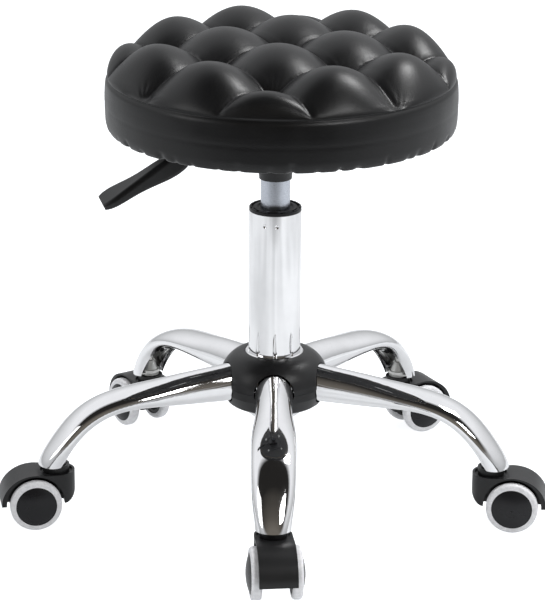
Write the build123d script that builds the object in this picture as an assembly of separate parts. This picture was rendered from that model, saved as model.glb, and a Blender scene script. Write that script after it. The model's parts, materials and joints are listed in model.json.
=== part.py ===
from build123d import *
import math
import os

# Adjustable swivel stool: five-arm chrome base on twin-wheel casters, a gas lift
# column and a round upholstered seat with a release lever.
# Millimetres. The origin is on the floor under the column axis, +Z is up and
# -Y is the front. Every part is made where it sits on the assembled stool, with
# the seat at its lowest.

# ---------------------------------------------------------------- driving sizes
ARM_COUNT = 5
FIRST_ARM_ANGLE = -90.0          # degrees about +Z, the arm that points to the front
RUNNING_GAP = 0.05               # radial clearance of every turning or sliding fit
STATIC_GAP = 0.05                # gap between fixed pieces that are welded or pressed

# arms: flattened chrome tube, straight from the hub, then bent down over the caster
ARM_WALL = 1.7
ARM_SLOPE = 3.0                  # degrees that the straight part falls
ARM_BEND_START = 142.0           # radius at which the bend starts
ARM_BEND_Z = 117.8               # centreline height there
ARM_BEND_RADIUS = 90.0
ARM_END_Z = 59.6
ARM_STATIONS = (                 # radius, half width, half height of the oval section
    (20.0, 18.0, 18.0),
    (50.0, 18.0, 17.8),
    (75.0, 17.9, 16.2),
    (104.0, 18.4, 13.9),
    (134.0, 20.2, 11.0),
    (169.0, 20.9, 9.5),
    (198.0, 20.3, 9.7),
    (213.0, 18.7, 10.3),
    (225.0, 17.3, 11.2),
)
ARCH_START = 166.0               # radius where the underside of the tail opens
ARCH_WIDTH = 27.0
ARCH_TOP_Z = 106.0

# hub
CORE_RADIUS = 28.0
CORE_BOTTOM = 97.0
CORE_TOP = 151.6
HUB_RADIUS = 52.0
HUB_BOTTOM_RADIUS = 45.5
HUB_PARTING_Z = 121.0
HUB_BOTTOM_Z = 100.0
HUB_PARTING_GAP = 0.5
HUB_WALL = 2.5
HUB_COLLAR_Z = 150.9
HUB_SHOULDER_Z = 126.0
HUB_ARM_HOLE = 19.3
HUB_ARM_HOLE_Z = 122.6

# gas lift
TUBE_RADIUS = 25.0
TUBE_WALL = 1.8
TUBE_BOTTOM = 88.0
TUBE_TOP = 292.6
GROOVE_COUNT = 9
GROOVE_TURN = 1.5
GROOVE_TOP = 175.5
BUSH_SLEEVE_BOTTOM = 230.0
BUSH_TOP = 296.1
CYLINDER_RADIUS = 14.0
CYLINDER_BORE = 11.0
CYLINDER_BOTTOM = 105.2
CYLINDER_TAPER_START = 325.0
CYLINDER_TOP = 352.0
CYLINDER_TOP_RADIUS = 13.3
CHAMBER_BOTTOM = 113.0
CHAMBER_TOP = 300.0
ROD_RADIUS = 5.0
PIN_RADIUS = 3.5
PIN_BOTTOM = 303.6
PIN_TOP = 355.85

# seat
SEAT_SHIFT = 5.0                 # the seat is bolted on this far to +X of the column
SEAT_RADIUS = 165.0
BOARD_RADIUS = 155.5
BOARD_BOTTOM = 378.4
BOARD_THICKNESS = 12.0
COVER_BOTTOM = 376.9
COVER_THICKNESS = 1.4
SEAT_TOP = 468.5
WRAP_RADIUS = 140.0
STAPLE_COUNT = 36
STAPLE_CIRCLE = 149.0

# seat plate and lever
PLATE_TOP = 377.4
PLATE_THICKNESS = 3.0
PLATE_SIZE = 150.0
BOLT_SPACING = 120.0
LEVER_ANGLE = 192.0              # plan direction of the lever, degrees about +Z
LEVER_AXIS_Z = 360.3
LEVER_PIVOT = 24.0               # distance of the pivot from the column axis
LEVER_BEND = 62.0                # distance at which the rod bends down
LEVER_FALL = 26.7                # degrees that the outer part falls
LEVER_TIP = 166.0                # plan distance of the paddle's tip
LEVER_ROD_RADIUS = 4.0

# casters
STEM_CIRCLE = 218.0
STEM_RADIUS = 5.5
GRIP_RADIUS = 4.0                # upper part of the stem, held in the socket cup
GRIP_TOP = 70.9
CASTER_TURNS = (6.0, 11.0, -26.0, -2.0, -7.0)   # swivel of each caster as it stands
CASTER_TRAIL = 21.8
WHEEL_RADIUS = 24.8
DISC_RADIUS = 19.4
TREAD_WIDTH = 9.6
WHEEL_OFFSET = 18.6              # mid-plane of each wheel from the caster's middle
AXLE_RADIUS = 3.0
HOOD_HALF_WIDTH = 17.6
HOOD_REACH = 32.3                # from the axle to the back of the roof
HOOD_RISE = 29.2                 # from the axle to the roof's crown
HOOD_POCKET = 27.6               # radius of the room for the wheels
HOOD_WEB = 5.0                   # half thickness of the middle web
HOOD_TOP = 53.0                  # rim of the stem boss
DISH_FLOOR = 51.0                # floor of the dish inside that rim
DISH_RADIUS = 15.4
NECK_RADIUS = 12.6
NECK_TOP = 58.9

UP = (Align.CENTER, Align.CENTER, Align.MIN)


# ---------------------------------------------------------------------- helpers
def rod(radius, bottom, top, x=0.0, y=0.0):
    """Upright solid cylinder."""
    return Pos(x, y, bottom) * Cylinder(radius, top - bottom, align=UP)


def tube(outer, inner, bottom, top, x=0.0, y=0.0):
    """Upright tube with square ends."""
    return rod(outer, bottom, top, x, y) - rod(inner, bottom - 1, top + 1, x, y)


def turned(points):
    """Solid of revolution about Z from (radius, height) corners."""
    return revolve(Plane.XZ * make_face(Polyline(*points, close=True)), Axis.Z)


def around(shape, count, first=0.0):
    """Equally spaced copies of a shape about Z, as a list."""
    return [Rot(0, 0, first + 360 * i / count) * shape for i in range(count)]


def group(shapes):
    """Several separate solids kept in one node."""
    solids = []
    for shape in shapes:
        solids.extend(shape.solids())
    return Compound(children=solids)


def save(shape, node):
    export_step(shape, f"parts/{node}.step")


# ------------------------------------------------------------------------- arms
def arm_centre(radius):
    """Height and heading (degrees below horizontal) of the arm's centreline."""
    slope = math.radians(ARM_SLOPE)
    if radius <= ARM_BEND_START:
        return ARM_BEND_Z + (ARM_BEND_START - radius) * math.tan(slope), ARM_SLOPE
    heading = math.asin((radius - ARM_BEND_START) / ARM_BEND_RADIUS + math.sin(slope))
    height = ARM_BEND_Z - ARM_BEND_RADIUS * (math.cos(slope) - math.cos(heading))
    return height, math.degrees(heading)


def arm_loft(inset):
    """Solid through the arm's oval sections, shrunk by inset."""
    sections = []
    for radius, half_width, half_height in ARM_STATIONS:
        height, heading = arm_centre(radius)
        tangent = (math.cos(math.radians(heading)), 0, -math.sin(math.radians(heading)))
        plane = Plane(origin=(radius, 0, height), x_dir=(0, 1, 0), z_dir=tangent)
        sections.append(plane * Ellipse(half_width - inset, half_height - inset))
    return loft(sections)


def tail_opening():
    """Arched cut in the hub side of the tail, up to the arm's centreline."""
    reach = ARM_STATIONS[-1][0]
    steps = 12
    line = []
    for i in range(steps + 1):
        radius = ARCH_START + (reach - ARCH_START) * i / steps
        line.append((radius, arm_centre(radius)[0]))
    line.extend([(reach, 40.0), (ARCH_START - 30, 40.0), (ARCH_START - 30, line[0][1])])
    below = extrude(Plane.XZ * make_face(Polyline(*line, close=True)), ARCH_WIDTH, both=True)
    spring = ARCH_TOP_Z - ARCH_WIDTH / 2
    face = Pos(0, spring / 2) * Rectangle(ARCH_WIDTH, spring) + Pos(0, spring) * Circle(ARCH_WIDTH / 2)
    arch = extrude(Plane.YZ * face, 2 * reach, both=True)
    return below & arch


def arm_sector():
    """Space that one arm may fill, between the mitre planes shared with its neighbours."""
    reach = 260.0
    half_angle = math.radians(180 / ARM_COUNT)
    apex = 2 * STATIC_GAP / math.sin(half_angle)
    spread = (reach - apex) * math.tan(half_angle)
    face = make_face(Polyline((apex, 0), (reach, spread), (reach, -spread), close=True))
    return extrude(face, 200)


def make_arm():
    """One arm pointing along +X."""
    arm = arm_loft(0) - arm_loft(ARM_WALL)
    arm &= arm_sector()
    arm -= rod(CORE_RADIUS + STATIC_GAP, 0, 200)
    arm -= Pos(200, 0, 0) * Box(120, 80, ARM_END_Z, align=UP)
    return arm - tail_opening()


# -------------------------------------------------------------------------- hub
def make_hub_core():
    """Steel socket ring that the column is pressed into and the arms are welded to."""
    inner = TUBE_RADIUS + STATIC_GAP
    chamfer = 0.8
    return turned([
        (inner, CORE_BOTTOM), (CORE_RADIUS, CORE_BOTTOM), (CORE_RADIUS, CORE_TOP - chamfer),
        (CORE_RADIUS - chamfer, CORE_TOP), (inner, CORE_TOP),
    ])


def hub_arm_holes():
    hole = Pos(0, 0, HUB_ARM_HOLE_Z) * Rot(0, 90, 0) * Cylinder(HUB_ARM_HOLE, 80, align=UP)
    return around(hole, ARM_COUNT, FIRST_ARM_ANGLE)


def make_hub_upper():
    """Domed cover that runs up to the socket ring, with an opening for each arm."""
    collar = CORE_RADIUS + 0.4
    sill = HUB_PARTING_Z + HUB_PARTING_GAP / 2
    inner_radius = HUB_RADIUS - HUB_WALL
    outside = [
        Line((HUB_RADIUS, sill), (HUB_RADIUS, HUB_SHOULDER_Z)),
        ThreePointArc((HUB_RADIUS, HUB_SHOULDER_Z), (48.2, 137.8), (40.0, 146.8)),
        ThreePointArc((40.0, 146.8), (34.2, 149.7), (collar, HUB_COLLAR_Z)),
    ]
    inside = Polyline(
        (collar, HUB_COLLAR_Z), (collar, HUB_COLLAR_Z - HUB_WALL), (34.0, 147.2), (38.7, 144.7),
        (43.0, 141.0), (46.4, 136.0), (inner_radius, HUB_SHOULDER_Z), (inner_radius, sill),
        (HUB_RADIUS, sill),
    )
    cover = revolve(Plane.XZ * make_face(outside + [inside]), Axis.Z)
    for hole in hub_arm_holes():
        cover -= hole
    return cover


def make_hub_lower():
    """Tapered lower cover with a floor around the socket ring."""
    collar = CORE_RADIUS + 0.4
    top = HUB_PARTING_Z - HUB_PARTING_GAP / 2
    waist = HUB_PARTING_Z - 8
    rim = HUB_RADIUS - 0.5
    inset = HUB_WALL
    cover = turned([
        (collar, HUB_BOTTOM_Z), (HUB_BOTTOM_RADIUS - 2, HUB_BOTTOM_Z),
        (HUB_BOTTOM_RADIUS, HUB_BOTTOM_Z + 1.5), (HUB_RADIUS - 1.4, waist), (rim, top),
        (rim - inset, top), (HUB_RADIUS - 1.4 - inset, waist),
        (HUB_BOTTOM_RADIUS - inset, HUB_BOTTOM_Z + inset), (collar, HUB_BOTTOM_Z + inset),
    ])
    for hole in hub_arm_holes():
        cover -= hole
    return cover


# --------------------------------------------------------------------- gas lift
def press_groove():
    """Cutter for one V-shaped press mark at the foot of the column."""
    start = CORE_TOP
    length = GROOVE_TOP - start
    edge = 1.5
    cone = Cone(edge + 1.1, edge, length, align=UP)
    return Pos(TUBE_RADIUS + edge, 0, start) * cone


def crimp_dents():
    """Pairs of small round dents that hold the guide bush in the column."""
    dents = []
    for turn in (-22.6, 3.7):
        dent = Rot(0, 0, turn) * Pos(TUBE_RADIUS + 2.9, 0, TUBE_TOP - 10) * Sphere(3.6)
        dents.extend(around(dent, 3, FIRST_ARM_ANGLE))
    return dents


def make_outer_tube():
    column = tube(TUBE_RADIUS, TUBE_RADIUS - TUBE_WALL, TUBE_BOTTOM, TUBE_TOP)
    for cut in around(press_groove(), GROOVE_COUNT, FIRST_ARM_ANGLE + GROOVE_TURN):
        column -= cut
    for cut in crimp_dents():
        column -= cut
    return column


def make_tube_plate():
    """Steel plate closing the bottom of the column, with the hole for the rod."""
    return tube(TUBE_RADIUS - TUBE_WALL - STATIC_GAP, ROD_RADIUS + 0.1, 92.0, 94.0)


def make_guide_bush():
    """Plastic bush that guides the gas cylinder, with a flange over the column's end."""
    bore = CYLINDER_RADIUS + RUNNING_GAP
    sleeve = TUBE_RADIUS - TUBE_WALL - STATIC_GAP
    flange = TUBE_RADIUS - 0.1
    seat = TUBE_TOP + STATIC_GAP
    rim_inner = flange - 2.2
    bush = turned([
        (bore, BUSH_SLEEVE_BOTTOM), (sleeve, BUSH_SLEEVE_BOTTOM), (sleeve, seat), (flange, seat),
        (flange, BUSH_TOP - 0.5), (flange - 0.5, BUSH_TOP), (rim_inner, BUSH_TOP),
        (rim_inner, BUSH_TOP - 1.4), (rim_inner - 2.0, BUSH_TOP - 1.4), (rim_inner - 2.0, BUSH_TOP - 0.3),
        (18.0, BUSH_TOP - 0.3), (16.8, BUSH_TOP - 1.6), (bore, BUSH_TOP - 1.6),
    ])
    notch = Pos(rim_inner + 0.6, 0, BUSH_TOP - 1.0) * Box(2.4, 2.6, 2.0, align=UP)
    for cut in around(notch, 12, 15.0):
        bush -= cut
    return bush


def make_thrust_bearing():
    """Ball thrust bearing: two grooved washers with a ball ring between them."""
    washer = tube(11.0, ROD_RADIUS + 0.3, 94.1, 95.2)
    upper = Pos(0, 0, 2.8) * washer
    ball = Pos(8.2, 0, 96.55) * Sphere(1.3)
    return group([washer, upper] + around(ball, 10))


def make_rubber_bumper():
    return turned([
        (ROD_RADIUS + 0.1, 100.3), (10.0, 100.3), (11.0, 101.3), (11.0, 103.6), (10.0, 104.6),
        (ROD_RADIUS + 0.1, 104.6),
    ])


def make_piston_rod():
    """Rod that stands on the bearing, necked below for its clip and above for the piston."""
    neck = 3.6
    return turned([
        (0, 85.0), (4.2, 85.0), (ROD_RADIUS, 86.0), (ROD_RADIUS, 89.4), (neck, 89.4), (neck, 91.2),
        (ROD_RADIUS, 91.2), (ROD_RADIUS, 98.2), (7.5, 98.2), (7.5, 100.2), (ROD_RADIUS, 100.2),
        (ROD_RADIUS, 236.0), (4.0, 236.0), (4.0, 247.0), (0, 247.0),
    ])


def make_rod_clip():
    """Spring clip in the rod's neck, open on one side."""
    clip = tube(8.0, 3.65, 89.5, 91.1)
    slot = Pos(6, 0, 89) * Box(12, 5.2, 3, align=UP)
    return clip - slot


def make_piston():
    ring = tube(CYLINDER_BORE - RUNNING_GAP, 4.0 + STATIC_GAP, 236.1, 246.0)
    groove = tube(CYLINDER_BORE + 1, CYLINDER_BORE - 1.2, 239.6, 242.4)
    return ring - groove


def make_gas_cylinder():
    """Gas spring body: chamber below, valve block above, tapered top end."""
    body = turned([
        (ROD_RADIUS + RUNNING_GAP, CYLINDER_BOTTOM), (CYLINDER_RADIUS - 1, CYLINDER_BOTTOM),
        (CYLINDER_RADIUS, CYLINDER_BOTTOM + 1), (CYLINDER_RADIUS, CYLINDER_TAPER_START),
        (CYLINDER_TOP_RADIUS, CYLINDER_TOP - 0.6), (CYLINDER_TOP_RADIUS - 0.6, CYLINDER_TOP),
        (PIN_RADIUS + RUNNING_GAP, CYLINDER_TOP), (PIN_RADIUS + RUNNING_GAP, CHAMBER_TOP),
        (CYLINDER_BORE, CHAMBER_TOP), (CYLINDER_BORE, CHAMBER_BOTTOM),
        (ROD_RADIUS + RUNNING_GAP, CHAMBER_BOTTOM),
    ])
    return body


def make_release_pin():
    return turned([
        (0, PIN_BOTTOM), (PIN_RADIUS, PIN_BOTTOM), (PIN_RADIUS, PIN_TOP - 0.7),
        (PIN_RADIUS - 0.7, PIN_TOP), (0, PIN_TOP),
    ])


# ------------------------------------------------------------------------- seat
def cushion_outline(inset):
    """Points of the cushion's side and top, moved inwards by inset."""
    points = [
        (157.0, COVER_BOTTOM), (161.5, 381.5), (164.2, 391.0), (SEAT_RADIUS, 402.0),
        (SEAT_RADIUS, 420.0), (161.5, 438.0), (150.0, 453.0), (122.0, 463.0), (62.0, 467.6),
        (0.0, SEAT_TOP),
    ]
    moved = []
    for i, (radius, height) in enumerate(points):
        before = points[max(i - 1, 0)]
        after = points[min(i + 1, len(points) - 1)]
        run = after[0] - before[0]
        rise = after[1] - before[1]
        length = math.hypot(run, rise)
        moved.append((radius - inset * rise / length, height + inset * run / length))
    moved[-1] = (0.0, SEAT_TOP - inset)
    return moved


def cushion_solid(inset, bottom):
    """Round crowned solid under the inset outline and above a height."""
    points = cushion_outline(inset)
    solid = turned(points + [(0.0, points[0][1])])
    solid -= rod(2 * SEAT_RADIUS, bottom - 100, bottom)
    return Pos(SEAT_SHIFT, 0, 0) * solid


def make_seat_foam():
    return cushion_solid(COVER_THICKNESS + 0.4, BOARD_BOTTOM + BOARD_THICKNESS + 0.3)


def make_seat_cover():
    """Cover skin over the foam, turned in under the board."""
    wrap_top = COVER_BOTTOM + COVER_THICKNESS
    cover = cushion_solid(0, COVER_BOTTOM) - cushion_solid(COVER_THICKNESS, wrap_top)
    return cover - rod(WRAP_RADIUS, COVER_BOTTOM - 1, wrap_top + 1, SEAT_SHIFT)


def bolt_points():
    """Places of the four seat bolts, square with the lever."""
    half = BOLT_SPACING / 2
    turn = math.radians(LEVER_ANGLE)
    points = []
    for along, across in ((half, half), (half, -half), (-half, half), (-half, -half)):
        x = along * math.cos(turn) - across * math.sin(turn)
        y = along * math.sin(turn) + across * math.cos(turn)
        points.append((x, y))
    return points


def make_seat_board():
    top = BOARD_BOTTOM + BOARD_THICKNESS
    board = rod(BOARD_RADIUS, BOARD_BOTTOM, top, SEAT_SHIFT)
    for x, y in bolt_points():
        board -= rod(4.1, BOARD_BOTTOM - 1, top + 1, x, y)
        board -= rod(9.2, top - 1.3, top + 1, x, y)
    return board


def make_dust_cover():
    cloth = rod(WRAP_RADIUS - 0.3, PLATE_TOP + 0.1, BOARD_BOTTOM - 0.1, SEAT_SHIFT)
    for x, y in bolt_points():
        cloth -= rod(3.4, 370, 380, x, y)
    return cloth


def make_staples():
    """Staple crowns that hold the cover's turned-in edge."""
    crown = Pos(STAPLE_CIRCLE, 0, COVER_BOTTOM - 0.75) * Box(1.0, 10.0, 0.7, align=UP)
    return Pos(SEAT_SHIFT, 0, 0) * group(around(crown, STAPLE_COUNT))


def make_tee_nuts():
    """Threaded inserts with a flange let into the top of the board."""
    top = BOARD_BOTTOM + BOARD_THICKNESS
    nuts = []
    for x, y in bolt_points():
        flange = tube(9.0, 3.0 + STATIC_GAP, top - 1.2, top, x, y)
        barrel = tube(4.0, 3.0 + STATIC_GAP, top - 9.0, top - 1.2, x, y)
        nuts.append(flange + barrel)
    return group(nuts)


def make_seat_bolts():
    """Hexagon socket bolts from under the plate, each with its washer face."""
    bearing = PLATE_TOP - PLATE_THICKNESS
    bolts = []
    for x, y in bolt_points():
        shank = rod(3.0, bearing - 1.0, BOARD_BOTTOM + BOARD_THICKNESS - 0.5, x, y)
        washer = rod(7.0, bearing - 1.0, bearing - STATIC_GAP, x, y)
        head = rod(5.0, bearing - 5.5, bearing - 0.9, x, y)
        key = Pos(x, y, bearing - 6) * extrude(RegularPolygon(2.5, 6), 3.0)
        bolts.append(shank + washer + head - key)
    return group(bolts)


# -------------------------------------------------------- seat plate and lever
def lever_frame(shape):
    """Turns a shape made along +X into the lever's plan direction."""
    return Rot(0, 0, LEVER_ANGLE) * shape


def pivot_pin(radius, length):
    """Crosswise cylinder at the lever's pivot."""
    return Pos(LEVER_PIVOT, 0, LEVER_AXIS_Z) * Rot(90, 0, 0) * Cylinder(radius, length)


def make_seat_plate():
    """Pressed plate with a boxed bridge, a tapered socket and two pivot ears."""
    bottom = PLATE_TOP - PLATE_THICKNESS
    flange = Pos(0, 0, bottom) * extrude(RectangleRounded(PLATE_SIZE, PLATE_SIZE, 14), PLATE_THICKNESS)
    stiffener = tube(64.0, 61.5, bottom - 4.0, bottom)
    wall = 2.5
    box_x = 6.0
    box_length = 56.0
    box_width = 48.0
    box_bottom = 342.0
    pan = Pos(box_x, 0, box_bottom) * Box(box_length, box_width, bottom - box_bottom, align=UP)
    inside = Box(box_length - 2 * wall, box_width - 2 * wall, bottom - box_bottom, align=UP)
    pan -= Pos(box_x, 0, box_bottom + wall) * inside
    ear = Box(12.0, wall, bottom - 354.0, align=UP)
    ears = Pos(LEVER_PIVOT, 11.5, 354.0) * ear + Pos(LEVER_PIVOT, -11.5, 354.0) * ear
    ears -= pivot_pin(2.5 + RUNNING_GAP, 40)
    socket_outer = turned([(0, 324.0), (15.7, 324.0), (17.2, 352.0), (0, 352.0)])
    slope = (CYLINDER_RADIUS - CYLINDER_TOP_RADIUS) / (CYLINDER_TOP - CYLINDER_TAPER_START)
    mouth = CYLINDER_RADIUS + STATIC_GAP
    top_radius = mouth - slope * (352.0 - CYLINDER_TAPER_START)
    bore = turned([
        (0, 323.0), (mouth, 323.0), (mouth, CYLINDER_TAPER_START), (top_radius, 352.0),
        (top_radius, 353.0), (0, 353.0),
    ])
    plate = flange + stiffener + pan + ears + socket_outer - bore
    way_out = Pos(LEVER_PIVOT + 5, 0, LEVER_AXIS_Z) * Rot(0, 90, 0) * Cylinder(5.6, 20, align=UP)
    plate -= way_out
    half = BOLT_SPACING / 2
    for x, y in ((half, half), (half, -half), (-half, half), (-half, -half)):
        plate -= rod(3.3, bottom - 5, PLATE_TOP + 1, x, y)
    return lever_frame(plate)


def make_lever_rod():
    """Bent rod with its cross pivot; the inner end lies over the release pin."""
    fall = math.tan(math.radians(LEVER_FALL))
    end = LEVER_BEND + 55.0
    start = (-4.0, 0, LEVER_AXIS_Z)
    corner = (LEVER_BEND, 0, LEVER_AXIS_Z)
    finish = (end, 0, LEVER_AXIS_Z - fall * (end - LEVER_BEND))
    path = FilletPolyline(start, corner, finish, radius=25.0)
    bar = sweep(Plane(origin=start, z_dir=(1, 0, 0)) * Circle(LEVER_ROD_RADIUS), path=path)
    return lever_frame(bar + pivot_pin(2.5, 26.0))


def lever_section(distance, half_width, half_height, roll, corner):
    """Rounded section of the paddle, square to the rod's falling part."""
    fall = math.radians(LEVER_FALL)
    height = LEVER_AXIS_Z - math.tan(fall) * (distance - LEVER_BEND)
    plane = Plane(origin=(distance, 0, height), x_dir=(0, 1, 0), z_dir=(math.cos(fall), 0, -math.sin(fall)))
    return plane * Rot(0, 0, roll) * RectangleRounded(2 * half_width, 2 * half_height, corner)


def make_lever_paddle():
    """Moulded paddle: deep and narrow at the rod, thin and wide at the finger end."""
    stations = (                 # distance, half width, half height, roll, corner radius
        (88.0, 6.6, 7.6, 0.0, 4.0),
        (96.0, 7.4, 9.6, -2.0, 4.4),
        (120.0, 9.6, 8.0, -5.0, 4.6),
        (145.0, 12.6, 5.8, -8.0, 4.4),
        (160.0, 13.6, 4.4, -10.0, 3.6),
        (LEVER_TIP, 11.0, 3.2, -10.0, 2.6),
    )
    paddle = loft([lever_section(*station) for station in stations])
    fall = math.tan(math.radians(LEVER_FALL))
    inner = (80.0, 0, LEVER_AXIS_Z - fall * (80.0 - LEVER_BEND))
    socket_end = LEVER_BEND + 56.0
    outer = (socket_end, 0, LEVER_AXIS_Z - fall * (socket_end - LEVER_BEND))
    line = Line(inner, outer)
    hole = sweep(Plane(origin=inner, z_dir=line % 0) * Circle(LEVER_ROD_RADIUS + STATIC_GAP), path=line)
    return lever_frame(paddle - hole)


# ---------------------------------------------------------------------- casters
def arm_angle(index):
    return FIRST_ARM_ANGLE + 360.0 / ARM_COUNT * index


def at_stem(shape, index, turn=0.0):
    """Moves a shape made about the stem axis to one arm's caster place."""
    return Rot(0, 0, arm_angle(index)) * Pos(STEM_CIRCLE, 0, 0) * Rot(0, 0, turn) * shape


def make_socket_cup():
    """Steel cup welded in the arm's tail: oval plate, flange, cone and hexagon top."""
    bottom = ARM_END_Z + 1.6
    flange_z = bottom + 1.8
    cone_z = flange_z + 2.2
    cone_top = 74.4
    plate = Pos(1.6, 0, bottom) * extrude(Ellipse(7.8, 14.0), 1.5)
    skirt = rod(8.2, bottom, flange_z)
    flange = rod(9.6, flange_z, cone_z)
    cone = Pos(0, 0, cone_z) * Cone(7.8, 5.2, cone_top - cone_z, align=UP)
    top = Pos(0, 0, cone_top) * extrude(RegularPolygon(3.4, 6), 3.9)
    cup = plate + skirt + flange + cone + top
    return cup - rod(GRIP_RADIUS + STATIC_GAP, bottom - 1, GRIP_TOP + 0.2)


def make_caster_stem():
    """Turned steel stem: journal in the hood, collar, and grip end in the socket cup."""
    collar_z = NECK_TOP + 0.3
    collar_top = collar_z + 1.8
    return turned([
        (0, 34.0), (4.6, 34.0), (STEM_RADIUS, 35.0), (STEM_RADIUS, collar_z), (9.0, collar_z),
        (9.0, collar_top), (GRIP_RADIUS, collar_top), (GRIP_RADIUS, GRIP_TOP - 1.4),
        (GRIP_RADIUS - 1.2, GRIP_TOP), (0, GRIP_TOP),
    ])


def lying(shape):
    """Turns a shape made about Z so that its axis lies along +Y at the axle."""
    return Pos(CASTER_TRAIL, 0, WHEEL_RADIUS) * Rot(-90, 0, 0) * shape


def hood_profile():
    """Side view of the hood, from the roof's back edge over the boss to the toe."""
    tail = CASTER_TRAIL + HOOD_REACH
    front = -HOOD_HALF_WIDTH
    sole = WHEEL_RADIUS - 0.8
    roof = EllipticalCenterArc((CASTER_TRAIL, WHEEL_RADIUS), HOOD_REACH, HOOD_RISE, 0, arc_size=90)
    crown = roof @ 1
    saddle = Spline(crown, (9.0, HOOD_TOP), tangents=((-1, 0), (-1, 0)))
    deck = Line((9.0, HOOD_TOP), (front, HOOD_TOP))
    wall = Line((front, HOOD_TOP), (front, 36.0))
    toe = ThreePointArc((front, 36.0), (-15.2, 28.6), (-8.0, sole))
    base = Polyline((-8.0, sole), (tail, sole), (tail, WHEEL_RADIUS))
    return make_face([roof, saddle, deck, wall, toe, base])


def make_hood():
    """Caster housing: curved roof over the wheels, middle web, dished boss and neck."""
    hood = extrude(Plane.XZ * hood_profile(), HOOD_HALF_WIDTH, both=True)
    hood &= rod(HOOD_HALF_WIDTH, 0, 80) + Pos(40, 0, 0) * Box(80, 60, 80, align=UP)
    pocket = Cylinder(HOOD_POCKET, 20, align=UP)
    hood -= lying(Pos(0, 0, HOOD_WEB) * pocket)
    hood -= lying(Pos(0, 0, -HOOD_WEB - 20) * pocket)
    hood += lying(Cylinder(7.0, 2 * 13.2))
    hood += rod(10.2, 31.0, DISH_FLOOR)
    hood += rod(DISH_RADIUS + 0.8, DISH_FLOOR - 1.1, DISH_FLOOR)
    hood -= rod(DISH_RADIUS, DISH_FLOOR, HOOD_TOP + 5)
    hood += rod(NECK_RADIUS, DISH_FLOOR - 0.5, NECK_TOP)
    hood -= tube(10.4, 9.2, NECK_TOP - 0.8, NECK_TOP + 1)
    hood -= rod(STEM_RADIUS + RUNNING_GAP, 33.5, NECK_TOP + 1)
    hood -= lying(Cylinder(AXLE_RADIUS + STATIC_GAP, 60))
    return hood


def make_axle():
    return lying(Cylinder(AXLE_RADIUS, 2 * 23.0))


def make_wheel(side):
    """Wheel centre with its hub and domed outer disc; side is +1 or -1."""
    bore = AXLE_RADIUS + RUNNING_GAP
    edge = DISC_RADIUS
    bulge = 3.7
    face = WHEEL_OFFSET + TREAD_WIDTH / 2
    rim = face - 0.3
    rise = face + bulge - rim
    dome_radius = (edge * edge + rise * rise) / (2 * rise)
    spread = math.degrees(math.asin(edge / dome_radius))
    dome = CenterArc((0, face + bulge - dome_radius), dome_radius, 90 - spread, spread)
    inner_face = face - TREAD_WIDTH + 0.8
    outline = Polyline(
        (0.0, face + bulge), (0.0, 23.6), (bore, 23.6), (bore, inner_face), (7.5, inner_face),
        (7.5, 18.0), (15.5, 18.0), (15.5, inner_face), (edge, inner_face), (edge, rim),
    )
    wheel = revolve(Plane.XZ * make_face([dome, outline]), Axis.Z)
    if side < 0:
        wheel = mirror(wheel, Plane.XY)
    return lying(wheel)


def make_tyre(side):
    """Soft rounded tread ring around the wheel centre."""
    inner = DISC_RADIUS + STATIC_GAP
    low = WHEEL_OFFSET - TREAD_WIDTH / 2
    high = WHEEL_OFFSET + TREAD_WIDTH / 2
    shoulder = 3.2
    section = make_face(Polyline(
        (inner, low), (WHEEL_RADIUS, low), (WHEEL_RADIUS, high), (inner, high), close=True,
    ))
    corners = section.vertices().sort_by(Axis.X)[-2:]
    section = fillet(corners, shoulder)
    tread = revolve(Plane.XZ * section, Axis.Z)
    if side < 0:
        tread = mirror(tread, Plane.XY)
    return lying(tread)


# ---------------------------------------------------------------- write the parts
def write_base():
    arm = make_arm()
    for i in range(ARM_COUNT):
        save(Rot(0, 0, arm_angle(i)) * arm, f"arm_{i + 1}")
    save(group([at_stem(make_socket_cup(), i) for i in range(ARM_COUNT)]), "socket_cups")
    save(group([at_stem(make_caster_stem(), i) for i in range(ARM_COUNT)]), "caster_stems")
    save(make_hub_core(), "hub_core")
    save(make_hub_upper(), "hub_cover_upper")
    save(make_hub_lower(), "hub_cover_lower")
    save(make_outer_tube(), "outer_tube")
    save(make_tube_plate(), "tube_plate")
    save(make_guide_bush(), "guide_bush")
    save(make_thrust_bearing(), "thrust_bearing")


def write_lift():
    save(make_piston_rod(), "piston_rod")
    save(make_rod_clip(), "rod_clip")
    save(make_piston(), "piston")
    save(make_rubber_bumper(), "rubber_bumper")
    save(make_gas_cylinder(), "gas_cylinder")
    save(make_release_pin(), "release_pin")


def write_seat():
    save(make_seat_plate(), "seat_plate")
    save(make_seat_bolts(), "seat_bolts")
    save(make_tee_nuts(), "tee_nuts")
    save(make_seat_board(), "seat_board")
    save(make_dust_cover(), "dust_cover")
    save(make_staples(), "staples")
    save(make_seat_foam(), "seat_foam")
    save(make_seat_cover(), "seat_cover")
    save(make_lever_rod(), "lever_rod")
    save(make_lever_paddle(), "lever_paddle")


def write_casters():
    hood = make_hood()
    axle = make_axle()
    for i, turn in enumerate(CASTER_TURNS):
        number = i + 1
        save(at_stem(hood, i, turn), f"caster_hood_{number}")
        save(at_stem(axle, i, turn), f"axle_{number}")
        for side, name in ((1, "left"), (-1, "right")):
            save(at_stem(make_wheel(side), i, turn), f"wheel_{number}_{name}")
            save(at_stem(make_tyre(side), i, turn), f"tyre_{number}_{name}")


os.makedirs("parts", exist_ok=True)
write_base()
write_lift()
write_seat()
write_casters()
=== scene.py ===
import json
import math
import random

import bpy
import numpy as np
from mathutils import Matrix, Vector


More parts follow.
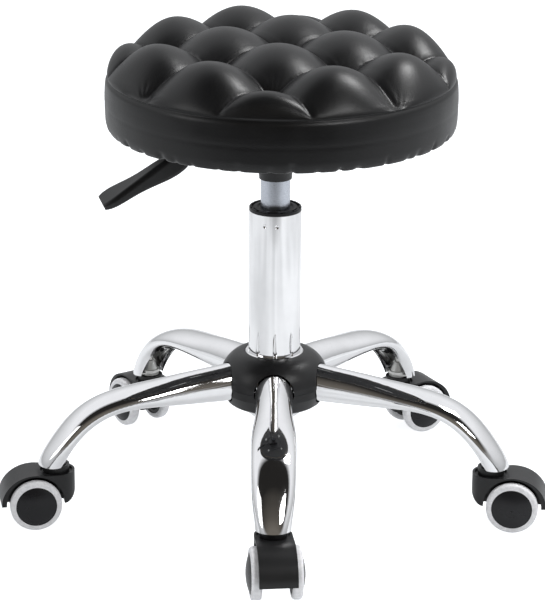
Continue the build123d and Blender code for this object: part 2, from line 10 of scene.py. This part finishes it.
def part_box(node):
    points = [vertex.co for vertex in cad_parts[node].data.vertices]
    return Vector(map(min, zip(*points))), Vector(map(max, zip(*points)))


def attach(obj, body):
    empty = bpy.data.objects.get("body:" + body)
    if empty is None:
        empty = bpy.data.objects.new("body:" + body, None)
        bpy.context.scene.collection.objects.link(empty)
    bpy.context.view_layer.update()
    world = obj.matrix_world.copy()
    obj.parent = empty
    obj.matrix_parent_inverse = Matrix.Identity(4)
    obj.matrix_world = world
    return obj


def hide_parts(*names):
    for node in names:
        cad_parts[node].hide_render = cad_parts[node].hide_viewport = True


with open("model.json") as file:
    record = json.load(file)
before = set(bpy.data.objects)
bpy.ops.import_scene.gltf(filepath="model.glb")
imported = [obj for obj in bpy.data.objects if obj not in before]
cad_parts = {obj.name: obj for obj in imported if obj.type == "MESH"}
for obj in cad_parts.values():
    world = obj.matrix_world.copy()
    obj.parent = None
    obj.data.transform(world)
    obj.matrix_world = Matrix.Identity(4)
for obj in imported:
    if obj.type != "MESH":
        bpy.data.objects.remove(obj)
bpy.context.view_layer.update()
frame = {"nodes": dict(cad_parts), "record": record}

# Adjustable swivel stool: looks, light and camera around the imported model. Metres.

SEED = 7

# camera
CAMERA_PLACE = (-0.0021, -2.559, 1.0896)
CAMERA_PITCH = 19.14             # degrees below the horizon
CAMERA_ROLL = 0.40               # degrees, the right side of the stool looks lower
CAMERA_LENS = 169.4

# studio
PAPER_FRONT = -0.80              # the white paper ends here, in front of the stool
PAPER_GLOW = 0.50                # light the paper gives off by itself
CAMERA_GLOW = 0.60               # added where the camera looks at it
WALL_LOW = (0.50, 0.51, 0.52)    # studio behind and beside the stool, near the horizon
WALL_HIGH = (0.95, 0.96, 0.98)   # the same, higher up
CEILING = (0.020, 0.019, 0.018)
FRONT_WALL = (0.16, 0.145, 0.125)
DARK_LEAN = 40.0                 # degrees that the dark part of the studio leans to the front

# tufting of the seat
TUFT_DIAGONAL = 0.116            # from one tuft to the next across a puff
TUFT_TURN = -6.3                 # degrees, turn of the pattern seen from above
TUFT_SHIFT = 0.003               # the pattern's centre lies this far to +X of the seat's
TUFT_HEIGHT = 0.4355             # bottom of the middle tuft
TUFT_DROP = 0.008                # how much lower the tufts are one diagonal out
PUFF_HEIGHT = 0.4685             # crest of the middle puffs
PUFF_DROP = 0.005
SEAM_HEIGHT = 0.4250
SHOULDER_START = 0.116           # radius at which the top starts to round over
TOP_RADIUS = 0.1632
BAND_RADIUS = 0.1652
EDGE_HEIGHT = 0.3765             # where the band turns in under the board
SIDE_TOP = 0.392                 # the gathers lie below this

# cushion mesh and its simulation
CUSHION_SEGMENTS = 288
CUSHION_RINGS = 62
PROFILE_STEP = 0.0022            # longest side of a face down the band
SWELL_FRAMES = 20
SWELL_LIMIT = 0.003              # farthest that the simulation may move a point
SWELL_PRESSURE = 2.0
GATHER_COUNT = 46
GATHER_DEPTH = 0.0017

# dust cloth
CLOTH_STAPLES = 36
CLOTH_SEGMENTS = 216
CLOTH_RINGS = 40
CLOTH_THICKNESS = 0.0003
CLOTH_GAP = 0.0001               # below the board's underside
CLOTH_SAG = 0.00035


# ------------------------------------------------------------------ node helpers
def new_material(name):
    """Material with an empty node tree apart from its shader and output."""
    material = bpy.data.materials.new(name)
    material.use_nodes = True
    return material, material.node_tree, material.node_tree.nodes["Principled BSDF"]


def add(tree, kind, inputs=None, **settings):
    """Adds a node; inputs maps a socket to a value or to another node's output."""
    made = tree.nodes.new(kind)
    for key, value in settings.items():
        setattr(made, key, value)
    for key, value in (inputs or {}).items():
        if isinstance(value, bpy.types.NodeSocket):
            tree.links.new(value, made.inputs[key])
        else:
            made.inputs[key].default_value = value
    return made


def link(tree, output, shader, socket):
    tree.links.new(output, shader.inputs[socket])


def coordinates(tree, stretch=(1, 1, 1)):
    """Real-size coordinates of the piece, in metres, stretched per axis."""
    place = add(tree, "ShaderNodeTexCoord")
    mapping = add(tree, "ShaderNodeMapping", {"Vector": place.outputs["Object"], "Scale": stretch})
    return mapping.outputs["Vector"]


def noise(tree, vector, scale, detail=4.0, rough=0.55):
    made = add(tree, "ShaderNodeTexNoise",
               {"Vector": vector, "Scale": scale, "Detail": detail, "Roughness": rough})
    return made.outputs["Fac"]


def cells(tree, vector, scale, feature="F1"):
    made = add(tree, "ShaderNodeTexVoronoi", {"Vector": vector, "Scale": scale}, feature=feature)
    return made.outputs["Distance"]


def ramp(tree, value, low, high, out_low, out_high):
    """Maps a value's span to another span, clamped."""
    made = add(tree, "ShaderNodeMapRange",
               {"Value": value, "From Min": low, "From Max": high, "To Min": out_low, "To Max": out_high})
    return made.outputs["Result"]


def tint(tree, value, first, second):
    """Colour between two by a value from 0 to 1; a colour is three numbers or a socket."""
    made = add(tree, "ShaderNodeMix", {"Factor": value}, data_type="RGBA")
    for socket, colour in ((made.inputs["A"], first), (made.inputs["B"], second)):
        if isinstance(colour, bpy.types.NodeSocket):
            tree.links.new(colour, socket)
        else:
            socket.default_value = (*colour, 1)
    return made.outputs["Result"]


def maths(tree, operation, first, second):
    made = add(tree, "ShaderNodeMath", operation=operation)
    for socket, value in zip(made.inputs, (first, second)):
        if isinstance(value, bpy.types.NodeSocket):
            tree.links.new(value, socket)
        else:
            socket.default_value = value
    return made.outputs["Value"]


def bump(tree, height, distance, strength=1.0, below=None):
    """Bump node for a height from 0 to 1; distance is the real depth in metres."""
    inputs = {"Height": height, "Distance": distance, "Strength": strength}
    if below is not None:
        inputs["Normal"] = below
    return add(tree, "ShaderNodeBump", inputs).outputs["Normal"]


# --------------------------------------------------------------------- materials
def chrome_material():
    """Bright plate with faint buffing haze and a little waviness."""
    material, tree, shader = new_material("chrome_plate")
    place = coordinates(tree)
    haze = noise(tree, place, 55.0, 6.0, 0.60)
    swirl = noise(tree, coordinates(tree, (1, 1, 0.25)), 900.0, 3.0)
    shader.inputs["Metallic"].default_value = 1.0
    link(tree, tint(tree, haze, (0.80, 0.80, 0.81), (0.90, 0.90, 0.91)), shader, "Base Color")
    link(tree, ramp(tree, haze, 0.35, 0.7, 0.035, 0.085), shader, "Roughness")
    fine = bump(tree, swirl, 0.000004)
    link(tree, bump(tree, noise(tree, place, 30.0, 1.0), 0.00006, 1.0, fine), shader, "Normal")
    return material


def satin_steel_material():
    """Drawn and ground steel: fine rings round the axis, bluish grey."""
    material, tree, shader = new_material("satin_steel")
    rings = noise(tree, coordinates(tree, (0.03, 0.03, 1)), 5200.0, 4.0)
    cloud = noise(tree, coordinates(tree), 40.0, 3.0)
    shader.inputs["Metallic"].default_value = 1.0
    link(tree, tint(tree, cloud, (0.50, 0.53, 0.59), (0.62, 0.65, 0.71)), shader, "Base Color")
    link(tree, ramp(tree, rings, 0.3, 0.7, 0.24, 0.36), shader, "Roughness")
    link(tree, bump(tree, rings, 0.00001), shader, "Normal")
    return material


def zinc_material():
    """Zinc-plated steel with its soft mottled crystals."""
    material, tree, shader = new_material("zinc_steel")
    place = coordinates(tree)
    crystals = cells(tree, place, 900.0)
    cloud = noise(tree, place, 160.0, 4.0)
    shader.inputs["Metallic"].default_value = 1.0
    link(tree, tint(tree, cloud, (0.52, 0.52, 0.50), (0.70, 0.70, 0.68)), shader, "Base Color")
    link(tree, ramp(tree, crystals, 0.0, 0.8, 0.26, 0.42), shader, "Roughness")
    link(tree, bump(tree, crystals, 0.00002), shader, "Normal")
    return material


def moulded_material(name, dark, light, rough, grain=1500.0, depth=0.00004):
    """Moulded black nylon: fine spark-eroded grain and faint flow marks."""
    material, tree, shader = new_material(name)
    place = coordinates(tree)
    flow = noise(tree, place, 35.0, 3.0)
    spark = noise(tree, place, grain, 3.0, 0.6)
    link(tree, tint(tree, flow, dark, light), shader, "Base Color")
    link(tree, ramp(tree, flow, 0.3, 0.7, rough - 0.04, rough + 0.05), shader, "Roughness")
    link(tree, bump(tree, spark, depth), shader, "Normal")
    shader.inputs["Specular IOR Level"].default_value = 0.36
    return material


def powder_material():
    """Powder coat with its orange peel."""
    material, tree, shader = new_material("black_powder_coat")
    peel = noise(tree, coordinates(tree), 700.0, 2.0)
    link(tree, tint(tree, peel, (0.012, 0.012, 0.013), (0.022, 0.022, 0.024)), shader, "Base Color")
    link(tree, ramp(tree, peel, 0.3, 0.7, 0.36, 0.46), shader, "Roughness")
    link(tree, bump(tree, peel, 0.00006), shader, "Normal")
    return material


def tread_material():
    """Soft light grey polyurethane, a little dusty."""
    material, tree, shader = new_material("grey_tread")
    place = coordinates(tree)
    dust = noise(tree, place, 220.0, 6.0, 0.7)
    skin = noise(tree, place, 2400.0, 2.0)
    link(tree, tint(tree, ramp(tree, dust, 0.42, 0.62, 0, 1), (0.76, 0.76, 0.78), (0.88, 0.88, 0.90)),
         shader, "Base Color")
    link(tree, ramp(tree, dust, 0.3, 0.7, 0.42, 0.56), shader, "Roughness")
    link(tree, bump(tree, skin, 0.00003), shader, "Normal")
    return material


def rubber_material():
    material, tree, shader = new_material("black_rubber")
    skin = noise(tree, coordinates(tree), 1800.0, 4.0)
    link(tree, tint(tree, skin, (0.012, 0.012, 0.012), (0.024, 0.024, 0.024)), shader, "Base Color")
    link(tree, ramp(tree, skin, 0.3, 0.7, 0.60, 0.75), shader, "Roughness")
    link(tree, bump(tree, skin, 0.00006), shader, "Normal")
    return material


def leather_material():
    """Black coated leather: pebbled grain, pores and slight differences in polish."""
    material, tree, shader = new_material("black_leather")
    place = coordinates(tree)
    warp = add(tree, "ShaderNodeTexNoise", {"Vector": place, "Scale": 260.0, "Detail": 2.0})
    moved = add(tree, "ShaderNodeMix", {"Factor": 0.0012}, data_type="VECTOR")
    tree.links.new(place, moved.inputs["A"])
    tree.links.new(warp.outputs["Color"], moved.inputs["B"])
    pebbles = cells(tree, moved.outputs["Result"], 780.0, "SMOOTH_F1")
    pores = noise(tree, place, 2600.0, 2.0)
    polish = noise(tree, place, 28.0, 4.0)
    link(tree, tint(tree, polish, (0.0022, 0.0022, 0.0026), (0.0045, 0.0045, 0.0050)), shader, "Base Color")
    sheen = ramp(tree, polish, 0.3, 0.7, 0.33, 0.42)
    link(tree, maths(tree, "ADD", sheen, ramp(tree, pebbles, 0.0, 0.7, 0.03, -0.02)), shader, "Roughness")
    fine = bump(tree, pores, 0.00001)
    link(tree, bump(tree, pebbles, 0.00004, 0.8, fine), shader, "Normal")
    shader.inputs["Specular IOR Level"].default_value = 0.42
    return material


def foam_material():
    material, tree, shader = new_material("foam")
    pores = cells(tree, coordinates(tree), 700.0)
    link(tree, tint(tree, pores, (0.62, 0.55, 0.36), (0.82, 0.76, 0.55)), shader, "Base Color")
    shader.inputs["Roughness"].default_value = 0.95
    link(tree, bump(tree, pores, 0.0004), shader, "Normal")
    return material


def plywood_material():
    """Plywood: long grain on the faces, thin plies on the edge."""
    material, tree, shader = new_material("plywood")
    fibres = noise(tree, coordinates(tree, (1, 0.06, 1)), 420.0, 5.0)
    plies = add(tree, "ShaderNodeTexWave", {"Vector": coordinates(tree), "Scale": 130.0, "Distortion": 0.4},
                bands_direction="Z")
    mixed = maths(tree, "MULTIPLY", fibres, ramp(tree, plies.outputs["Fac"], 0.2, 0.8, 0.75, 1.0))
    link(tree, tint(tree, mixed, (0.30, 0.19, 0.10), (0.68, 0.50, 0.31)), shader, "Base Color")
    link(tree, ramp(tree, fibres, 0.3, 0.7, 0.6, 0.75), shader, "Roughness")
    link(tree, bump(tree, fibres, 0.00012), shader, "Normal")
    return material


def cloth_material():
    """Black non-woven cloth: short matted fibres and small heat-bond dots."""
    material, tree, shader = new_material("dust_cloth")
    place = coordinates(tree)
    fibres = noise(tree, coordinates(tree, (1, 0.35, 1)), 1500.0, 5.0, 0.7)
    dots = cells(tree, place, 420.0)
    pressed = ramp(tree, dots, 0.12, 0.22, 0.0, 1.0)
    link(tree, tint(tree, fibres, (0.014, 0.014, 0.014), (0.042, 0.042, 0.043)), shader, "Base Color")
    shader.inputs["Roughness"].default_value = 0.9
    shader.inputs["Sheen Weight"].default_value = 0.25
    fine = bump(tree, fibres, 0.0001)
    link(tree, bump(tree, pressed, 0.00012, 1.0, fine), shader, "Normal")
    return material


def make_materials():
    """One material for each material slot of the record."""
    black = (0.0050, 0.0050, 0.0065)
    grey = (0.0085, 0.0085, 0.0105)
    return {
        "chrome": chrome_material(),
        "satin_steel": satin_steel_material(),
        "zinc_steel": zinc_material(),
        "black_steel": powder_material(),
        "black_plastic": moulded_material("satin_nylon", (0.009, 0.009, 0.0095), (0.015, 0.015, 0.016), 0.36),
        "disc_plastic": moulded_material("disc_nylon", black, grey, 0.28, 2200.0, 0.00002),
        "bush_plastic": moulded_material("black_acetal", black, grey, 0.42, 1200.0, 0.00005),
        "grey_tread": tread_material(),
        "rubber": rubber_material(),
        "black_leather": leather_material(),
        "foam": foam_material(),
        "plywood": plywood_material(),
        "dust_cloth": cloth_material(),
    }


def dress_nodes(materials):
    """Gives every CAD node the material of its slot."""
    slots = {part["node"]: part["material_slot"] for part in frame["record"]["subparts"]}
    for name, piece in frame["nodes"].items():
        piece.data.materials.clear()
        piece.data.materials.append(materials[slots[name]])


# ------------------------------------------------------------------ mesh helpers
def new_piece(name, points, faces):
    """Object with a mesh of its own, in the scene."""
    mesh = bpy.data.meshes.new(name)
    mesh.from_pydata(points, [], faces)
    piece = bpy.data.objects.new(name, mesh)
    bpy.context.scene.collection.objects.link(piece)
    return piece


def disc_faces(segments, rings):
    """A fan round vertex 0 and rings of four-sided faces outside it, seen from above."""
    faces = [(0, 1 + j, 1 + (j + 1) % segments) for j in range(segments)]
    for i in range(rings - 1):
        a = 1 + i * segments
        b = a + segments
        for j in range(segments):
            k = (j + 1) % segments
            faces.append((a + j, b + j, b + k, a + k))
    return faces


def apply_modifier(piece, modifier):
    """Puts the piece's mesh as the modifier leaves it in place of the old one."""
    seen = piece.evaluated_get(bpy.context.evaluated_depsgraph_get())
    mesh = bpy.data.meshes.new_from_object(seen)
    piece.modifiers.remove(modifier)
    old = piece.data
    piece.data = mesh
    bpy.data.meshes.remove(old)
    mesh.name = piece.name


def dress_piece(piece, material):
    """Smooth shading and one material."""
    for polygon in piece.data.polygons:
        polygon.use_smooth = True
    piece.data.materials.clear()
    piece.data.materials.append(material)


# ----------------------------------------------------------------- seat cushion
def seat_centre():
    low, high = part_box("seat_cover")
    return (low.x + high.x) / 2, (low.y + high.y) / 2


def lattice(x, y):
    """Place of a point in its puff: s and t run from -1 to 1 between the valleys."""
    turn = math.radians(TUFT_TURN)
    across = (x - TUFT_SHIFT) * math.cos(turn) + y * math.sin(turn)
    along = -(x - TUFT_SHIFT) * math.sin(turn) + y * math.cos(turn)
    p = (across + along) / TUFT_DIAGONAL
    q = (across - along) / TUFT_DIAGONAL
    return 2 * (p - np.floor(p)) - 1, 2 * (q - np.floor(q)) - 1


def top_height(x, y):
    """Height of the tufted top, about the seat's own centre."""
    s, t = lattice(x, y)
    radius = np.hypot(x, y)
    fullness = 1 - (np.abs(s) ** 1.9 + np.abs(t) ** 1.9) / 2
    tuft = TUFT_HEIGHT - TUFT_DROP * (radius / TUFT_DIAGONAL) ** 2
    crest = PUFF_HEIGHT - PUFF_DROP * (radius / TUFT_DIAGONAL) ** 2
    height = tuft + (crest - tuft) * fullness ** 0.95
    out = np.clip((radius - SHOULDER_START) / (TOP_RADIUS - SHOULDER_START), 0, 1)
    return SEAM_HEIGHT + (height - SEAM_HEIGHT) * np.sqrt(1 - out ** 2.4)


def band_profile():
    """Radius and height down the side band, round the edge and into the board's pocket."""
    low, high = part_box("seat_board")
    board = (high.x - low.x) / 2 + 0.0015
    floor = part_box("seat_cover")[0].z
    return [
        (TOP_RADIUS, SEAM_HEIGHT), (0.1619, 0.4240), (0.1634, 0.4226), (0.1646, 0.4205),
        (BAND_RADIUS, 0.4150), (0.1656, 0.4075), (0.1656, 0.4020), (0.16535, 0.3998), (0.1655, 0.3970),
        (0.1653, 0.3910), (0.1650, 0.3840), (0.1642, 0.3790), (0.1624, 0.3760), (0.1592, 0.3750),
        (0.1500, floor), (0.1405, floor), (0.1400, floor + 0.0013), (board, floor + 0.0013),
        (board, high.z + 0.0006), (0.0, high.z + 0.0006),
    ]


def resample(points, step):
    """Points along a line of corners, at most a step apart."""
    made = [points[0]]
    for start, end in zip(points, points[1:]):
        count = max(1, round(math.dist(start, end) / step))
        for i in range(1, count + 1):
            k = i / count
            made.append((start[0] + (end[0] - start[0]) * k, start[1] + (end[1] - start[1]) * k))
    return made


def cushion_rings(top_rings):
    """Radii of the top's rings, closer together towards the shoulder."""
    share = np.linspace(0, 1, top_rings + 1)[1:]
    return TOP_RADIUS * np.sin(share * math.pi / 2) ** 0.9


def build_cushion():
    """Closed cushion mesh: tufted top, band, turned-in edge and board pocket."""
    cx, cy = seat_centre()
    segments = CUSHION_SEGMENTS
    angles = np.linspace(0, 2 * math.pi, segments, endpoint=False)
    points = [(0.0, 0.0, float(top_height(np.zeros(1), np.zeros(1))[0]))]
    for radius in cushion_rings(CUSHION_RINGS):
        x = radius * np.cos(angles)
        y = radius * np.sin(angles)
        points.extend(zip(x, y, top_height(x, y)))
    profile = resample(band_profile(), PROFILE_STEP)[1:-1]
    for radius, height in profile:
        points.extend((radius * math.cos(a), radius * math.sin(a), height) for a in angles)
    points.append((0.0, 0.0, profile[-1][1]))
    rings = CUSHION_RINGS + len(profile)
    faces = disc_faces(segments, rings)
    last = 1 + (rings - 1) * segments
    faces.extend((last + j, len(points) - 1, last + (j + 1) % segments) for j in range(segments))
    piece = new_piece("seat_cushion", [(x + cx, y + cy, z) for x, y, z in points], faces)
    return piece, CUSHION_RINGS * segments + 1


def vertices_of(mesh):
    place = np.empty(len(mesh.vertices) * 3, np.float32)
    mesh.vertices.foreach_get("co", place)
    return place.reshape(-1, 3).astype(float)


def set_vertices(mesh, place):
    mesh.vertices.foreach_set("co", place.astype(np.float32).ravel())
    mesh.update()


def hold_weights(piece, top_count):
    """Pins tufts, valleys, seam and underside so that only the puffs swell."""
    cx, cy = seat_centre()
    place = vertices_of(piece.data)
    s, t = lattice(place[:, 0] - cx, place[:, 1] - cy)
    near = np.maximum(np.abs(s), np.abs(t))
    weight = np.clip((near - 0.72) / 0.24, 0, 1)
    radius = np.hypot(place[:, 0] - cx, place[:, 1] - cy)
    weight = np.maximum(weight, np.clip((radius - 0.150) / 0.010, 0, 1))
    weight[top_count:] = 1.0
    group = piece.vertex_groups.new(name="held")
    for i, value in enumerate(weight):
        if value > 0.02:
            group.add([i], float(value), "REPLACE")
    return group.name


def swell(piece, top_count):
    """Cloth simulation: the cover is blown up between its tufts, then the result is kept."""
    start = vertices_of(piece.data)
    held = hold_weights(piece, top_count)
    modifier = piece.modifiers.new("swell", "CLOTH")
    settings = modifier.settings
    settings.quality = 6
    settings.mass = 0.25
    settings.tension_stiffness = 12
    settings.compression_stiffness = 12
    settings.shear_stiffness = 4
    settings.bending_stiffness = 0.4
    settings.use_pressure = True
    settings.uniform_pressure_force = SWELL_PRESSURE
    settings.vertex_group_mass = held
    settings.effector_weights.gravity = 0
    modifier.point_cache.frame_start = 1
    modifier.point_cache.frame_end = SWELL_FRAMES
    scene = bpy.context.scene
    for number in range(1, SWELL_FRAMES + 1):
        scene.frame_set(number)
    seen = piece.evaluated_get(bpy.context.evaluated_depsgraph_get())
    moved = vertices_of(seen.data) - start
    far = np.linalg.norm(moved, axis=1, keepdims=True)
    moved *= np.minimum(1, SWELL_LIMIT / np.maximum(far, 1e-9))
    piece.modifiers.remove(modifier)
    piece.vertex_groups.clear()
    scene.frame_set(1)
    set_vertices(piece.data, start + moved)


def subdivide(piece):
    """One level of smooth subdivision, applied."""
    modifier = piece.modifiers.new("smooth", "SUBSURF")
    modifier.levels = 1
    apply_modifier(piece, modifier)


def bell(distance, width):
    return np.exp(-(distance / width) ** 2)


def crease_depths(x, y):
    """Sewn detail of the top, along the surface normal: valleys, soft folds and tuft pits."""
    s, t = lattice(x, y)
    half = TUFT_DIAGONAL / math.sqrt(2) / 2
    from_p = (1 - np.abs(s)) * half
    from_q = (1 - np.abs(t)) * half
    valley = np.minimum(from_p, from_q)
    tuft = np.hypot(from_p, from_q)
    near_tuft = bell(tuft, 0.030)
    depth = -0.0012 * bell(valley, 0.0015)
    depth += 0.00022 * bell(valley - 0.0056, 0.0016) * (0.2 + near_tuft)
    depth -= 0.0034 * bell(tuft, 0.0055)
    spokes = np.cos(9 * np.arctan2(from_p, from_q) * 2)
    depth += 0.00022 * spokes * bell(tuft - 0.011, 0.006)
    return depth


def edge_gathers(angle, height):
    """Puckers of the cover where it is pulled under the board, outwards along the radius."""
    rng = random.Random(SEED)
    relief = np.zeros_like(angle)
    for i in range(GATHER_COUNT):
        middle = 2 * math.pi * (i + rng.uniform(-0.3, 0.3)) / GATHER_COUNT
        width = rng.uniform(0.012, 0.026)
        size = rng.uniform(0.5, 1.5)
        reach = rng.uniform(0.004, 0.010)
        away = np.abs((angle - middle + math.pi) % (2 * math.pi) - math.pi)
        fade = np.clip(1 - (height - EDGE_HEIGHT) / reach, 0, 1)
        relief += size * bell(away, width) * fade
    return -GATHER_DEPTH * relief


def add_detail(piece):
    """Moves the fine mesh by its sewn valleys, tuft pits and edge gathers."""
    cx, cy = seat_centre()
    mesh = piece.data
    place = vertices_of(mesh)
    normal = np.array([v.normal for v in mesh.vertices], float)
    x = place[:, 0] - cx
    y = place[:, 1] - cy
    radius = np.hypot(x, y)
    top = np.clip((place[:, 2] - SEAM_HEIGHT - 0.0005) / 0.004, 0, 1)
    place += normal * (crease_depths(x, y) * top)[:, None]
    side = np.clip((radius - 0.150) / 0.006, 0, 1) * (place[:, 2] < SIDE_TOP)
    pull = edge_gathers(np.arctan2(y, x), place[:, 2]) * side
    outward = np.stack([x, y, np.zeros_like(x)], 1) / np.maximum(radius, 1e-6)[:, None]
    place += outward * pull[:, None]
    place[:, 2] -= pull * 0.5 * side
    set_vertices(mesh, place)


def make_cushion(materials):
    """Tufted cushion in place of the plain foam and cover."""
    piece, top_count = build_cushion()
    swell(piece, top_count)
    subdivide(piece)
    add_detail(piece)
    dress_piece(piece, materials["black_leather"])
    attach(piece, "seat")
    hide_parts("seat_cover", "seat_foam")


# ------------------------------------------------------------------- dust cloth
def cloth_points(cx, cy, outer, top):
    """Rings of points: slack in the middle, small folds and a pulled edge between staples."""
    rng = random.Random(SEED)
    phases = [rng.uniform(0, 2 * math.pi) for _ in range(3)]
    points = [(cx, cy, top)]
    for i in range(1, CLOTH_RINGS + 1):
        share = i / CLOTH_RINGS
        for j in range(CLOTH_SEGMENTS):
            angle = 2 * math.pi * j / CLOTH_SEGMENTS
            pull = 0.5 + 0.5 * math.cos(angle * CLOTH_STAPLES)
            folds = 0.00010 * math.sin(angle * 13 + phases[0]) + 0.00008 * math.sin(angle * 29 + phases[1])
            slack = CLOTH_SAG * math.sin(math.pi * share) + (folds + 0.00012 * pull) * share ** 4
            radius = outer * share * (1 - 0.003 * pull * share ** 8)
            points.append((cx + radius * math.cos(angle), cy + radius * math.sin(angle), top - slack))
    return points


def make_dust_cloth(materials):
    """Thin cloth stretched under the board, in place of the plain cover disc."""
    low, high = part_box("dust_cover")
    outer = (high.x - low.x) / 2
    points = cloth_points((low.x + high.x) / 2, (low.y + high.y) / 2, outer, high.z - CLOTH_GAP)
    faces = [face[::-1] for face in disc_faces(CLOTH_SEGMENTS, CLOTH_RINGS)]
    piece = new_piece("dust_cloth", points, faces)
    modifier = piece.modifiers.new("thickness", "SOLIDIFY")
    modifier.thickness = CLOTH_THICKNESS
    modifier.offset = 0.0
    apply_modifier(piece, modifier)
    dress_piece(piece, materials["dust_cloth"])
    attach(piece, "seat")
    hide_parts("dust_cover")


# -------------------------------------------------------------- stage and light
def stage_material():
    """White paper that glows for the camera; in reflections a dark floor begins in front of it."""
    material, tree, shader = new_material("white_floor")
    place = add(tree, "ShaderNodeTexCoord")
    split = add(tree, "ShaderNodeSeparateXYZ", {"Vector": place.outputs["Object"]})
    paper = ramp(tree, split.outputs["Y"], PAPER_FRONT - 0.35, PAPER_FRONT, 0.0, 1.0)
    cloud = noise(tree, coordinates(tree, (1, 0.5, 1)), 2.6, 1.0)
    tone = ramp(tree, cloud, 0.38, 0.62, 0.62, 1.0)
    paths = add(tree, "ShaderNodeLightPath")
    paper = maths(tree, "MAXIMUM", paper, paths.outputs["Is Camera Ray"])
    glow = maths(tree, "ADD", maths(tree, "MULTIPLY", tone, PAPER_GLOW),
                 maths(tree, "MULTIPLY", paths.outputs["Is Camera Ray"], CAMERA_GLOW))
    link(tree, tint(tree, paper, (0.05, 0.048, 0.045), (0.42, 0.43, 0.44)), shader, "Base Color")
    link(tree, maths(tree, "MULTIPLY", paper, glow), shader, "Emission Strength")
    shader.inputs["Emission Color"].default_value = (0.97, 0.985, 1.0, 1)
    shader.inputs["Roughness"].default_value = 0.8
    shader.inputs["Specular IOR Level"].default_value = 0.1
    return material


def make_floor():
    size = 30.0
    corners = [(-size, -size, 0), (size, -size, 0), (size, size, 0), (-size, size, 0)]
    floor = new_piece("floor", corners, [(0, 1, 2, 3)])
    floor.data.materials.append(stage_material())


def make_world():
    """White studio behind and at the sides, dark overhead and in front."""
    world = bpy.data.worlds.new("studio")
    bpy.context.scene.world = world
    world.use_nodes = True
    tree = world.node_tree
    tree.nodes.clear()
    place = add(tree, "ShaderNodeTexCoord")
    split = add(tree, "ShaderNodeSeparateXYZ", {"Vector": place.outputs["Generated"]})
    lean = math.radians(DARK_LEAN)
    toward = maths(tree, "ADD", maths(tree, "MULTIPLY", split.outputs["Z"], math.cos(lean)),
                   maths(tree, "MULTIPLY", split.outputs["Y"], -math.sin(lean)))
    dark = ramp(tree, toward, 0.52, 0.68, 0.0, 1.0)
    front = ramp(tree, split.outputs["Y"], -0.9, -0.45, 1.0, 0.0)
    wall = tint(tree, ramp(tree, split.outputs["Z"], 0.05, 0.55, 0.0, 1.0), WALL_LOW, WALL_HIGH)
    ceiling = tint(tree, front, CEILING, FRONT_WALL)
    paths = add(tree, "ShaderNodeLightPath")
    colour = tint(tree, paths.outputs["Is Camera Ray"], tint(tree, dark, wall, ceiling), (1, 1, 1))
    back = add(tree, "ShaderNodeBackground", {"Color": colour, "Strength": 1.0})
    out = add(tree, "ShaderNodeOutputWorld")
    tree.links.new(back.outputs["Background"], out.inputs["Surface"])


def make_light(name, place, aim, size, power, in_gloss=True):
    """Rectangular soft light; one kept out of gloss lights without a reflection."""
    data = bpy.data.lights.new(name, "AREA")
    data.shape = "RECTANGLE"
    data.size = size[0]
    data.size_y = size[1]
    data.energy = power
    light = bpy.data.objects.new(name, data)
    light.location = place
    light.rotation_euler = (Vector(aim) - Vector(place)).to_track_quat("-Z", "Y").to_euler()
    light.visible_glossy = in_gloss
    bpy.context.scene.collection.objects.link(light)


def make_lights():
    make_light("overhead", (0.0, 0.2, 3.0), (0, 0, 0), (4.0, 4.0), 38.0, in_gloss=False)
    make_light("right_box", (1.6, -1.9, 1.9), (0, 0, 0.3), (0.8, 1.0), 24.0)
    make_light("left_box", (-2.2, -1.2, 1.3), (0, 0, 0.3), (0.8, 1.4), 7.0)
    make_light("back_right_box", (1.3, 0.5, 2.4), (0, 0, 0.4), (0.6, 0.8), 32.0)


def make_camera():
    data = bpy.data.cameras.new("camera")
    data.lens = CAMERA_LENS
    data.sensor_width = 36.0
    data.clip_end = 100.0
    camera = bpy.data.objects.new("camera", data)
    turn = Matrix.Rotation(math.radians(90 - CAMERA_PITCH), 4, "X")
    roll = Matrix.Rotation(math.radians(CAMERA_ROLL), 4, "Z")
    camera.matrix_world = Matrix.Translation(CAMERA_PLACE) @ turn @ roll
    bpy.context.scene.collection.objects.link(camera)
    bpy.context.scene.camera = camera


bpy.context.scene.view_settings.view_transform = "Standard"
materials = make_materials()
dress_nodes(materials)
make_cushion(materials)
make_dust_cloth(materials)
make_floor()
make_world()
make_lights()
make_camera()
